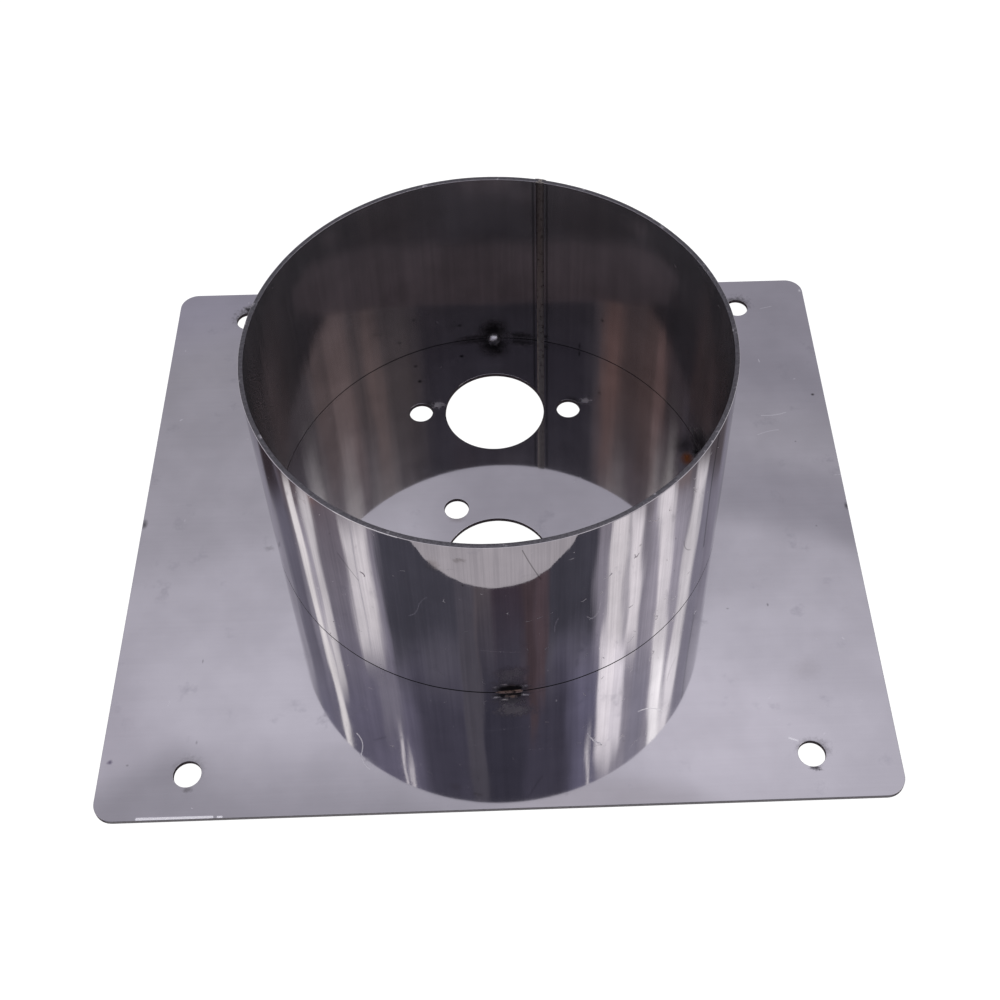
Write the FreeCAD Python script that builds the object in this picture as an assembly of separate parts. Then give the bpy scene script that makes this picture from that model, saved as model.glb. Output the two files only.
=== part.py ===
import FreeCAD, Part

import math
import os

# Sheet-metal mounting plate with an upstanding collar, for an air heater in a vehicle floor.
# Millimetres and degrees. The origin is the centre of the plate's underside, +Z is up through
# the collar, and +Y runs to the plate edge that the collar stands nearer to.
# Azimuths are measured about the collar's axis, from +X towards +Y.

# Plate
plate_width = 190.0
plate_depth = 170.0
plate_thickness = 1.2
plate_corner_radius = 5.0

# Screw holes near the plate's corners
corner_hole_diameter = 6.6
corner_hole_inset_x = 21.0
corner_hole_inset_y = 11.25

# Collar, a strip rolled to a ring and closed by one seam weld
collar_outer_diameter = 120.0
collar_wall = 1.2
collar_height = 62.0
collar_centre_y = 5.2
collar_edge_break = 0.2

# Seam weld: the strip's ends stand a gap apart, and the weld fills it and stands proud
seam_azimuth = 76.2
seam_gap = 0.9
seam_root_width = 2.4
seam_root_height = 0.3
seam_cap_width = 3.0
seam_cap_height = 0.15

# Heater pattern in the plate, inside the collar
pattern_centre_from_collar_y = 4.5
pipe_hole_diameter = 28.0
pipe_hole_pitch = 52.0
stud_hole_diameter = 6.6
stud_pitch_x = 42.0
stud_pitch_y = 52.0
fuel_hole_diameter = 6.6
fuel_hole_from_pattern_x = -10.75
fuel_hole_from_pattern_y = -8.35

# Tack welds at the collar's foot, each one nugget melted through the wall: a round-ended
# ridge along the joint that stands well proud inside the collar and only just outside it
tack_outside_height = 0.15
tack_radius = 1.8
tack_straight = 0.6
front_tack_radius = 1.7
front_tack_straight = 5.8
tack_azimuths = {"rear": 90.0, "right": 11.0, "left": 181.0}
front_tack_azimuth = 272.0

# Worked out from the values above
collar_outer_radius = collar_outer_diameter / 2
collar_inner_radius = collar_outer_radius - collar_wall
collar_foot = FreeCAD.Vector(0, collar_centre_y, plate_thickness)
pattern_y = collar_centre_y + pattern_centre_from_collar_y
edge_break = min(collar_edge_break, 0.4 * collar_wall)

UP = FreeCAD.Vector(0, 0, 1)


def azimuth_vector(radius, azimuth):
    """Vector of the given length in the XY plane, at an azimuth from +X towards +Y."""
    angle = math.radians(azimuth)
    return FreeCAD.Vector(radius * math.cos(angle), radius * math.sin(angle), 0)


def point_on_circle(radius, offset):
    """Point on a circle about the origin that lies offset beside the +X axis."""
    return FreeCAD.Vector(math.sqrt(radius ** 2 - offset ** 2), offset, 0)


def arc_edge(start, middle, end):
    """Circular edge through three points."""
    return Part.Arc(start, middle, end).toShape()


def arc_on_circle(radius, offset_from, offset_to):
    """Edge along a circle about the origin, between two offsets beside the +X axis."""
    middle = (offset_from + offset_to) / 2
    return arc_edge(
        point_on_circle(radius, offset_from),
        point_on_circle(radius, middle),
        point_on_circle(radius, offset_to),
    )


def through_hole(x, y, diameter):
    """Cylinder that cuts a round hole through the plate."""
    start = FreeCAD.Vector(x, y, -plate_thickness)
    return Part.makeCylinder(diameter / 2, 3 * plate_thickness, start, UP)


def corner_holes():
    """Four screw holes, at a fixed distance in from the plate's edges."""
    x = plate_width / 2 - corner_hole_inset_x
    y = plate_depth / 2 - corner_hole_inset_y
    return [
        through_hole(side_x * x, side_y * y, corner_hole_diameter)
        for side_x in (-1, 1)
        for side_y in (-1, 1)
    ]


def heater_holes():
    """Two pipe holes in line, a stud hole at each side of both, and the fuel line's hole."""
    holes = []
    for row in (-1, 1):
        holes.append(through_hole(0, pattern_y + row * pipe_hole_pitch / 2, pipe_hole_diameter))
        for side in (-1, 1):
            stud_x = side * stud_pitch_x / 2
            stud_y = pattern_y + row * stud_pitch_y / 2
            holes.append(through_hole(stud_x, stud_y, stud_hole_diameter))
    fuel_x = fuel_hole_from_pattern_x
    fuel_y = pattern_y + fuel_hole_from_pattern_y
    holes.append(through_hole(fuel_x, fuel_y, fuel_hole_diameter))
    return holes


def make_base_plate():
    """Flat sheet with rounded corners and all its holes."""
    low_corner = FreeCAD.Vector(-plate_width / 2, -plate_depth / 2, 0)
    sheet = Part.makeBox(plate_width, plate_depth, plate_thickness, low_corner)
    upright = [e for e in sheet.Edges if abs(e.tangentAt(e.FirstParameter).z) > 0.5]
    sheet = sheet.makeFillet(plate_corner_radius, upright)
    for hole in corner_holes() + heater_holes():
        sheet = sheet.cut(hole)
    return sheet


def make_rolled_strip():
    """Ring about the Z axis with its rims' edges broken, open at the seam gap on +X."""
    inner = collar_inner_radius
    outer = collar_outer_radius
    profile = Part.makePolygon([
        FreeCAD.Vector(inner, 0, 0),
        FreeCAD.Vector(outer, 0, 0),
        FreeCAD.Vector(outer, 0, collar_height - edge_break),
        FreeCAD.Vector(outer - edge_break, 0, collar_height),
        FreeCAD.Vector(inner + edge_break, 0, collar_height),
        FreeCAD.Vector(inner, 0, collar_height - edge_break),
        FreeCAD.Vector(inner, 0, 0),
    ])
    ring = Part.Face(profile).revolve(FreeCAD.Vector(0, 0, 0), UP, 360)
    slot_corner = FreeCAD.Vector(inner / 2, -seam_gap / 2, -collar_wall)
    slot = Part.makeBox(outer, seam_gap, collar_height + 2 * collar_wall, slot_corner)
    return ring.cut(slot)


def make_seam_bead():
    """Weld that fills the seam gap: a root bead on the bore, a low cap on the outside."""
    inner = collar_inner_radius
    outer = collar_outer_radius
    gap = seam_gap / 2
    root = seam_root_width / 2
    cap = seam_cap_width / 2
    root_crown = FreeCAD.Vector(inner - seam_root_height, 0, 0)
    cap_crown = FreeCAD.Vector(outer + seam_cap_height, 0, 0)
    edges = [
        arc_edge(point_on_circle(inner, root), root_crown, point_on_circle(inner, -root)),
        arc_on_circle(inner, -root, -gap),
        Part.makeLine(point_on_circle(inner, -gap), point_on_circle(outer, -gap)),
        arc_on_circle(outer, -gap, -cap),
        arc_edge(point_on_circle(outer, -cap), cap_crown, point_on_circle(outer, cap)),
        arc_on_circle(outer, cap, gap),
        Part.makeLine(point_on_circle(outer, gap), point_on_circle(inner, gap)),
        arc_on_circle(inner, gap, root),
    ]
    section = Part.Face(Part.Wire(edges))
    return section.extrude(UP * collar_height)


def make_tack_nugget(azimuth, radius, straight):
    """Nugget at the collar's foot: the upper half of a round-ended bar that lies along the
    joint, set so that it just comes through the collar's outer face."""
    half = straight / 2
    lean = radius * math.sqrt(0.5)
    outline = Part.Wire([
        arc_edge(
            FreeCAD.Vector(-half - radius, 0, 0),
            FreeCAD.Vector(-half - lean, lean, 0),
            FreeCAD.Vector(-half, radius, 0)),
        Part.makeLine(FreeCAD.Vector(-half, radius, 0), FreeCAD.Vector(half, radius, 0)),
        arc_edge(
            FreeCAD.Vector(half, radius, 0),
            FreeCAD.Vector(half + lean, lean, 0),
            FreeCAD.Vector(half + radius, 0, 0)),
        Part.makeLine(FreeCAD.Vector(half + radius, 0, 0), FreeCAD.Vector(-half - radius, 0, 0)),
    ])
    nugget = Part.Face(outline).revolve(FreeCAD.Vector(0, 0, 0), FreeCAD.Vector(1, 0, 0), 180)
    nugget.rotate(FreeCAD.Vector(0, 0, 0), UP, azimuth - 90)
    middle_radius = collar_outer_radius + tack_outside_height - radius
    nugget.translate(collar_foot + azimuth_vector(middle_radius, azimuth))
    return nugget


def place_on_plate(shape):
    """Turn a shape made at +X to the seam's azimuth and stand it on the plate."""
    shape.rotate(FreeCAD.Vector(0, 0, 0), UP, seam_azimuth)
    shape.translate(collar_foot)
    return shape


def build():
    """All pieces by node name: the nuggets first, because the collar is notched for them."""
    tacks = {
        "tack_weld_" + name: make_tack_nugget(azimuth, tack_radius, tack_straight)
        for name, azimuth in tack_azimuths.items()
    }
    tacks["tack_weld_front"] = make_tack_nugget(
        front_tack_azimuth, front_tack_radius, front_tack_straight)
    collar = place_on_plate(make_rolled_strip())
    for nugget in tacks.values():
        collar = collar.cut(nugget)
    pieces = {
        "base_plate": make_base_plate(),
        "collar": collar,
        "seam_weld": place_on_plate(make_seam_bead()),
    }
    pieces.update(tacks)
    return pieces


os.makedirs("parts", exist_ok=True)
for node, piece in build().items():
    solid = piece.removeSplitter()
    solid = solid.Solids[0] if len(solid.Solids) == 1 else solid
    solid.exportStep("parts/" + node + ".step")
    box = solid.BoundBox
    print(node, "solids", len(solid.Solids), "valid", solid.isValid(),
          "volume", round(solid.Volume, 2),
          "x", round(box.XMin, 2), round(box.XMax, 2),
          "y", round(box.YMin, 2), round(box.YMax, 2),
          "z", round(box.ZMin, 2), round(box.ZMax, 2))
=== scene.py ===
"""Dressed model of a sheet-metal mounting plate with an upstanding collar.

Sizes are in millimetres in the classes and become metres when a mesh is made. Azimuths are in
degrees about the collar's axis, from +X towards +Y, as in the construction model.
"""
import logging
import math
from dataclasses import dataclass, field
from enum import Enum

import bmesh
import bpy
import numpy as np
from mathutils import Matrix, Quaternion, Vector
from mathutils.geometry import delaunay_2d_cdt


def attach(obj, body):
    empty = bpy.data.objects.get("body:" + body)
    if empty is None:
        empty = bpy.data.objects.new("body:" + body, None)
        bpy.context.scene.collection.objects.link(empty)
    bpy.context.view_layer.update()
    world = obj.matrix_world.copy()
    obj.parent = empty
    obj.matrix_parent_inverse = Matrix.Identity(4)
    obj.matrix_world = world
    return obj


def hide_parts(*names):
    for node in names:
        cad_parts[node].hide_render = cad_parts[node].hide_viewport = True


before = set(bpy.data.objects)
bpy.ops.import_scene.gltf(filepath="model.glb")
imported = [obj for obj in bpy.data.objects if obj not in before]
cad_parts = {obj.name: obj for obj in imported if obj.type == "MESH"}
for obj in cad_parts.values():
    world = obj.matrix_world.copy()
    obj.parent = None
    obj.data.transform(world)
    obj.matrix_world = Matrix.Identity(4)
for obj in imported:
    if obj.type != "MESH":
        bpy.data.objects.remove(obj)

LOG = logging.getLogger("mounting_plate")
MM = 0.001
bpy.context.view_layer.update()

QUARTER_TURN = 0.5 * math.pi
FULL_TURN = 2.0 * math.pi
# Points nearer than the first are joined, and the second is how exactly faces are filled, in
# millimetres.
JOIN_DISTANCE = 0.0005
FILL_TOLERANCE = 1e-6
# The colour sockets' places in a Mix node.
MIX_UNDER, MIX_OVER, MIX_RESULT = 6, 7, 2

Pair = tuple[float, float]
Triple = tuple[float, float, float]
Socket = bpy.types.NodeSocket
Feed = Socket | float | Triple | None


class Face(Enum):
    """Which face of the sheet a material is for, with the material's place in the mesh."""

    OUTSIDE = 0
    EDGE = 1
    INSIDE = 2


# ---- Shader graphs


@dataclass
class Graph:
    """Adds nodes to one node tree and joins them."""

    tree: bpy.types.NodeTree

    def node(self, kind: str, *values: Feed, **settings: object) -> bpy.types.Node:
        """Add a node.

        Args:
            kind: Blender's name for the node's type.
            values: What its first inputs get, in order.
            settings: Attributes of the node and their values.

        Returns:
            The new node.
        """
        made = self.tree.nodes.new(kind)
        for name, value in settings.items():
            setattr(made, name, value)
        for target, value in zip(made.inputs, values):
            self.feed(target, value)
        return made

    def feed(self, target: Socket, value: Feed) -> None:
        """Give an input a link or a constant.

        Args:
            target: The input.
            value: An output to link, a constant, or None to leave the input as it is.
        """
        if isinstance(value, bpy.types.NodeSocket):
            self.tree.links.new(value, target)
        elif value is not None:
            wide = hasattr(target.default_value, "__len__") and len(target.default_value) == 4
            target.default_value = (*value, 1.0) if wide else value

    def math(self, operation: str, *values: Feed) -> Socket:
        """Add a Math node and return its output."""
        return self.node("ShaderNodeMath", *values, operation=operation).outputs[0]

    def vector(self, operation: str, *values: Feed) -> Socket:
        """Add a Vector Math node.

        Args:
            operation: What it works out.
            values: What its inputs get.

        Returns:
            Its vector, or its number where it gives one.
        """
        made = self.node("ShaderNodeVectorMath", *values, operation=operation)
        number = operation in ("DISTANCE", "DOT_PRODUCT", "LENGTH")
        return made.outputs["Value" if number else "Vector"]

    def scaled(self, value: Feed, by: Feed) -> Socket:
        """Return a vector times a number."""
        return self.vector("SCALE", value, None, None, by)

    def divided(self, value: Feed, by: Feed) -> Socket:
        """Return a vector divided by a number."""
        return self.scaled(value, self.math("DIVIDE", 1.0, by))

    def split(self, value: Feed) -> tuple[Socket, ...]:
        """Return a vector's X, Y and Z."""
        return tuple(self.node("ShaderNodeSeparateXYZ", value).outputs)

    def joined(self, *parts: Feed) -> Socket:
        """Return the vector with the given X, Y and Z."""
        return self.node("ShaderNodeCombineXYZ", *parts).outputs[0]

    def ease(self, value: Feed, low: Feed, high: Feed, first: Feed = 0.0,
             last: Feed = 1.0) -> Socket:
        """Return a smooth step of value between low and high, from first to last."""
        return self.node("ShaderNodeMapRange", value, low, high, first, last,
                         interpolation_type="SMOOTHSTEP").outputs[0]

    def blend(self, share: Feed, under: Feed, over: Feed) -> Socket:
        """Mix two colours.

        Args:
            share: How much of the second shows.
            under: The first.
            over: The second.

        Returns:
            The mixed colour.
        """
        made = self.node("ShaderNodeMix", share, data_type="RGBA")
        self.feed(made.inputs[MIX_UNDER], under)
        self.feed(made.inputs[MIX_OVER], over)
        return made.outputs[MIX_RESULT]

    def noise(self, place: Feed, scale: float, detail: float = 3.0, rough: float = 0.5) -> Socket:
        """Return the value of a noise texture at a place."""
        return self.node("ShaderNodeTexNoise", place, None, scale, detail, rough).outputs[0]

    def bump(self, height: Socket, strength: float, depth: float) -> Socket:
        """Add a Bump node.

        Args:
            height: The relief, from 0 to 1.
            strength: How much of it shows.
            depth: How high it is, in millimetres.

        Returns:
            The normal.
        """
        made = self.node("ShaderNodeBump")
        for name, value in (("Strength", strength), ("Distance", depth * MM), ("Height", height)):
            self.feed(made.inputs[name], value)
        return made.outputs[0]

    def shader(self, kind: str, *values: Feed) -> Socket:
        """Add a shader node, whose first inputs get the values, and return its output."""
        return self.node(kind, *values).outputs[0]

    def millimetres(self) -> Socket:
        """Return Object coordinates in millimetres."""
        return self.scaled(self.node("ShaderNodeTexCoord").outputs["Object"], 1.0 / MM)

    def group(self, effect: "Effect", **values: Feed) -> dict[str, Socket]:
        """Place a shared effect.

        Args:
            effect: The effect.
            values: What its inputs get, with _ for a space in the names.

        Returns:
            Its outputs by name.
        """
        made = self.node("ShaderNodeGroup", node_tree=effect.tree())
        for name, value in values.items():
            self.feed(made.inputs[name.replace("_", " ")], value)
        return {output.name: output for output in made.outputs}


class Effect:
    """A node group that several materials share, built once when it is first used."""

    vectors: tuple[str, ...] = ("Vector",)
    numbers: tuple[str, ...] = ()
    results: tuple[str, ...] = ("Mask",)
    built: dict[str, bpy.types.NodeTree] = {}

    def tree(self) -> bpy.types.NodeTree:
        """Build the group on the first call.

        Returns:
            The group, which is the same one at each call.
        """
        name = type(self).__name__
        if name not in Effect.built:
            made = bpy.data.node_groups.new(name, "ShaderNodeTree")
            for side, kind, labels in (("INPUT", "Vector", self.vectors),
                                       ("INPUT", "Float", self.numbers),
                                       ("OUTPUT", "Float", self.results)):
                for label in labels:
                    made.interface.new_socket(label, in_out=side, socket_type="NodeSocket" + kind)
            graph = Graph(made)
            source, sink = graph.node("NodeGroupInput"), graph.node("NodeGroupOutput")
            results = self.build(graph, {socket.name: socket for socket in source.outputs})
            for label, value in results.items():
                graph.feed(sink.inputs[label], value)
            Effect.built[name] = made
        return Effect.built[name]

    def build(self, graph: Graph, given: dict[str, Socket]) -> dict[str, Socket]:
        """Add the group's nodes. Each effect has its own.

        Args:
            graph: The group's graph.
            given: The group's inputs by name.

        Returns:
            What feeds each output, by name.
        """
        raise NotImplementedError


class RolledGrain(Effect):
    """Fine parallel lines that rolling and polishing leave, running along X of the vector."""

    numbers = ("Pitch", "Length")
    results = ("Streak", "Height")

    def build(self, graph: Graph, given: dict[str, Socket]) -> dict[str, Socket]:
        """Noise at two finenesses, drawn out along X. Streak takes both alike, and Height more of
        the broad one.

        Args:
            graph: The group's graph.
            given: The group's inputs by name.

        Returns:
            What feeds each output, by name.
        """
        along, across, over = graph.split(given["Vector"])
        place = graph.joined(graph.math("DIVIDE", along, given["Length"]),
                             graph.math("DIVIDE", across, given["Pitch"]),
                             graph.math("DIVIDE", over, given["Pitch"]))
        broad = graph.noise(place, 0.22, 1.0)
        fine = graph.noise(place, 1.0, 3.0, 0.7)
        height = graph.math("MULTIPLY_ADD", fine, 0.5, graph.math("MULTIPLY", broad, 1.5))
        tone = graph.math("MULTIPLY_ADD", fine, 0.6, graph.math("MULTIPLY", broad, 0.4))
        return {"Streak": graph.ease(tone, 0.38, 0.62), "Height": height}


class Smudges(Effect):
    """Soft patches that handling leaves."""

    numbers = ("Size", "Cover")
    bare_level, cover_span, softness = 0.72, 0.4, 0.16

    def build(self, graph: Graph, given: dict[str, Socket]) -> dict[str, Socket]:
        """Broad noise cut off below a level that Cover sets.

        Args:
            graph: The group's graph.
            given: The group's inputs by name.

        Returns:
            What feeds each output, by name.
        """
        lowered = graph.math("MULTIPLY", given["Cover"], self.cover_span)
        level = graph.math("SUBTRACT", self.bare_level, lowered)
        soft = graph.noise(graph.divided(given["Vector"], given["Size"]), 1.0, 4.0, 0.62)
        return {"Mask": graph.ease(soft, level, graph.math("ADD", level, self.softness))}


class Specks(Effect):
    """Sparse round dots of dirt."""

    numbers = ("Spacing", "Radius", "Share")
    least_size, core = 0.35, 0.4

    def build(self, graph: Graph, given: dict[str, Socket]) -> dict[str, Socket]:
        """A dot at a share of the cells of a Voronoi texture.

        Args:
            graph: The group's graph.
            given: The group's inputs by name.

        Returns:
            What feeds each output, by name.
        """
        cells = graph.node("ShaderNodeTexVoronoi")
        cells.inputs["Scale"].default_value = 1.0
        graph.feed(cells.inputs["Vector"], graph.divided(given["Vector"], given["Spacing"]))
        chance, spread, _ = graph.split(cells.outputs["Color"])
        size = graph.math("MULTIPLY", given["Radius"], graph.math("ADD", spread, self.least_size))
        reach = graph.math("MULTIPLY", cells.outputs["Distance"], given["Spacing"])
        near = graph.ease(reach, size, graph.math("MULTIPLY", size, self.core))
        taken = graph.math("LESS_THAN", chance, given["Share"])
        return {"Mask": graph.math("MULTIPLY", near, taken)}


class Hairlines(Effect):
    """Fine curved scuffs at scattered places."""

    numbers = ("Size", "Half width", "Cover")
    bare_level, cover_span, softness = 0.8, 0.4, 0.05
    patch_shift = (31.0, 17.0, 5.0)

    def build(self, graph: Graph, given: dict[str, Socket]) -> dict[str, Socket]:
        """The level lines of a smooth noise, cut to the patches of a second one. Half width is a
        share of the first noise's range.

        Args:
            graph: The group's graph.
            given: The group's inputs by name.

        Returns:
            What feeds each output, by name.
        """
        place = graph.divided(given["Vector"], given["Size"])
        level = graph.math("SUBTRACT", graph.noise(place, 1.0, 1.0), 0.5)
        line = graph.ease(graph.math("ABSOLUTE", level), given["Half width"], 0.0)
        patch = graph.noise(graph.vector("ADD", place, self.patch_shift), 1.6, 2.0)
        lowered = graph.math("MULTIPLY", given["Cover"], self.cover_span)
        bound = graph.math("SUBTRACT", self.bare_level, lowered)
        shown = graph.ease(patch, bound, graph.math("ADD", bound, self.softness))
        return {"Mask": graph.math("MULTIPLY", line, shown)}


class OvalSpot(Effect):
    """One soft oval patch at a place on the sheet. Wander, noise about zero, makes its border
    ragged."""

    vectors = ("Vector", "Scale", "Offset")
    numbers = ("Wander", "Ragged", "Strength")

    def build(self, graph: Graph, given: dict[str, Socket]) -> dict[str, Socket]:
        """Strength where the scaled and moved vector is nothing, falling smoothly to nothing where
        it is one long.

        Args:
            graph: The group's graph.
            given: The group's inputs by name.

        Returns:
            What feeds each output, by name.
        """
        away = graph.vector("MULTIPLY_ADD", given["Vector"], given["Scale"], given["Offset"])
        reach = graph.math("MULTIPLY_ADD", given["Wander"], given["Ragged"],
                           graph.vector("LENGTH", away))
        return {"Mask": graph.ease(reach, 1.0, 0.0, 0.0, given["Strength"])}


class FineScratch(Effect):
    """One fine line between two places on the sheet."""

    vectors = ("Vector", "Start", "End")
    numbers = ("Half width", "Bow", "Strength")

    def build(self, graph: Graph, given: dict[str, Socket]) -> dict[str, Socket]:
        """Nearness to the nearest point of the line, which Bow bends sideways in the middle. The
        height above the map doesn't count.

        Args:
            graph: The group's graph.
            given: The group's inputs by name.

        Returns:
            What feeds each output, by name.
        """
        run = graph.vector("SUBTRACT", given["End"], given["Start"])
        level = graph.vector("MULTIPLY", given["Vector"], (1.0, 1.0, 0.0))
        away = graph.vector("SUBTRACT", level, given["Start"])
        share = graph.math("DIVIDE", graph.vector("DOT_PRODUCT", away, run),
                           graph.vector("DOT_PRODUCT", run, run))
        held = graph.node("ShaderNodeClamp", share).outputs[0]
        middle = graph.math("SUBTRACT", held, 0.5)
        square = graph.math("MULTIPLY", middle, middle)
        arch = graph.math("SUBTRACT", 1.0, graph.math("MULTIPLY", square, 4.0))
        side = graph.vector("NORMALIZE", graph.vector("CROSS_PRODUCT", run, (0.0, 0.0, 1.0)))
        bend = graph.scaled(side, graph.math("MULTIPLY", arch, given["Bow"]))
        line = graph.vector("ADD", graph.vector("ADD", given["Start"], bend),
                            graph.scaled(run, held))
        gap = graph.vector("DISTANCE", level, line)
        return {"Mask": graph.ease(gap, given["Half width"], 0.0, 0.0, given["Strength"])}


class SoftPanel(Effect):
    """A soft-edged rectangle of the surroundings. Direction holds azimuth and elevation in
    degrees."""

    vectors = ("Direction", "Centre", "Inner", "Outer")
    results = ("Beyond",)
    wrap_high, wrap_low = (180.0, 1000.0, 1.0), (-180.0, -1000.0, -1.0)

    def build(self, graph: Graph, given: dict[str, Socket]) -> dict[str, Socket]:
        """Nothing within the half size Inner, growing smoothly to one at the half size Outer. The
        azimuth goes round, and the two directions join as a length.

        Args:
            graph: The group's graph.
            given: The group's inputs by name.

        Returns:
            What feeds each output, by name.
        """
        away = graph.vector("SUBTRACT", given["Direction"], given["Centre"])
        held = graph.vector("WRAP", away, self.wrap_high, self.wrap_low)
        step = graph.node("ShaderNodeMapRange", data_type="FLOAT_VECTOR",
                          interpolation_type="SMOOTHSTEP")
        parts = {"Vector": graph.vector("ABSOLUTE", held), "From_Min_FLOAT3": given["Inner"],
                 "From_Max_FLOAT3": given["Outer"]}
        for socket in step.inputs:
            graph.feed(socket, parts.get(socket.identifier))
        return {"Beyond": graph.vector("LENGTH", step.outputs["Vector"])}


# ---- Finishes


@dataclass(frozen=True)
class Patch:
    """A soft oval patch on the sheet: its middle, half sizes and looks. Places and sizes are in
    millimetres of the sheet's own map."""

    x: float
    y: float
    wide: float
    tall: float
    colour: Triple
    strength: float
    roughness: float = 0.0
    ragged: float = 0.5

    def mask(self, graph: Graph, place: Socket, wander: Socket) -> Socket:
        """Return how much of the patch shows at a place.

        Args:
            graph: The material's graph.
            place: The sheet's map in millimetres.
            wander: Noise about zero for the patches' borders.

        Returns:
            A mask from 0 to the patch's strength.
        """
        return graph.group(
            OvalSpot(), Vector=place, Scale=(1.0 / self.wide, 1.0 / self.tall, 0.0),
            Offset=(-self.x / self.wide, -self.y / self.tall, 0.0), Wander=wander,
            Ragged=self.ragged, Strength=self.strength)["Mask"]


@dataclass(frozen=True)
class Line:
    """A fine line on the sheet: its ends, half width and looks, and how far it bows."""

    x: float
    y: float
    end_x: float
    end_y: float
    half_width: float
    colour: Triple
    strength: float
    roughness: float = 0.0
    bow: float = 0.0

    def mask(self, graph: Graph, place: Socket, _: Socket) -> Socket:
        """Return how much of the line shows at a place.

        Args:
            graph: The material's graph.
            place: The sheet's map in millimetres.
            _: The patches' noise, which a line leaves aside.

        Returns:
            A mask from 0 to the line's strength.
        """
        return graph.group(
            FineScratch(), Vector=place, Start=(self.x, self.y, 0.0),
            End=(self.end_x, self.end_y, 0.0), Half_width=self.half_width, Bow=self.bow,
            Strength=self.strength)["Mask"]


@dataclass(frozen=True)
class Finish:
    """A metal's finish, which is made into a material."""

    name: str

    def material(self) -> bpy.types.Material:
        """Make the finish's material.

        Returns:
            The material, with the finish's nodes.
        """
        made = bpy.data.materials.new(self.name)
        made.use_nodes = True
        graph = Graph(made.node_tree)
        shader = made.node_tree.nodes["Principled BSDF"]
        for name, value in self.feeds(graph).items():
            graph.feed(shader.inputs[name], value)
        return made

    def feeds(self, graph: Graph) -> dict[str, Feed]:
        """Add the finish's nodes. Each kind of finish has its own.

        Args:
            graph: The material's graph.

        Returns:
            What the shader's inputs get, by name.
        """
        raise NotImplementedError


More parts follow.
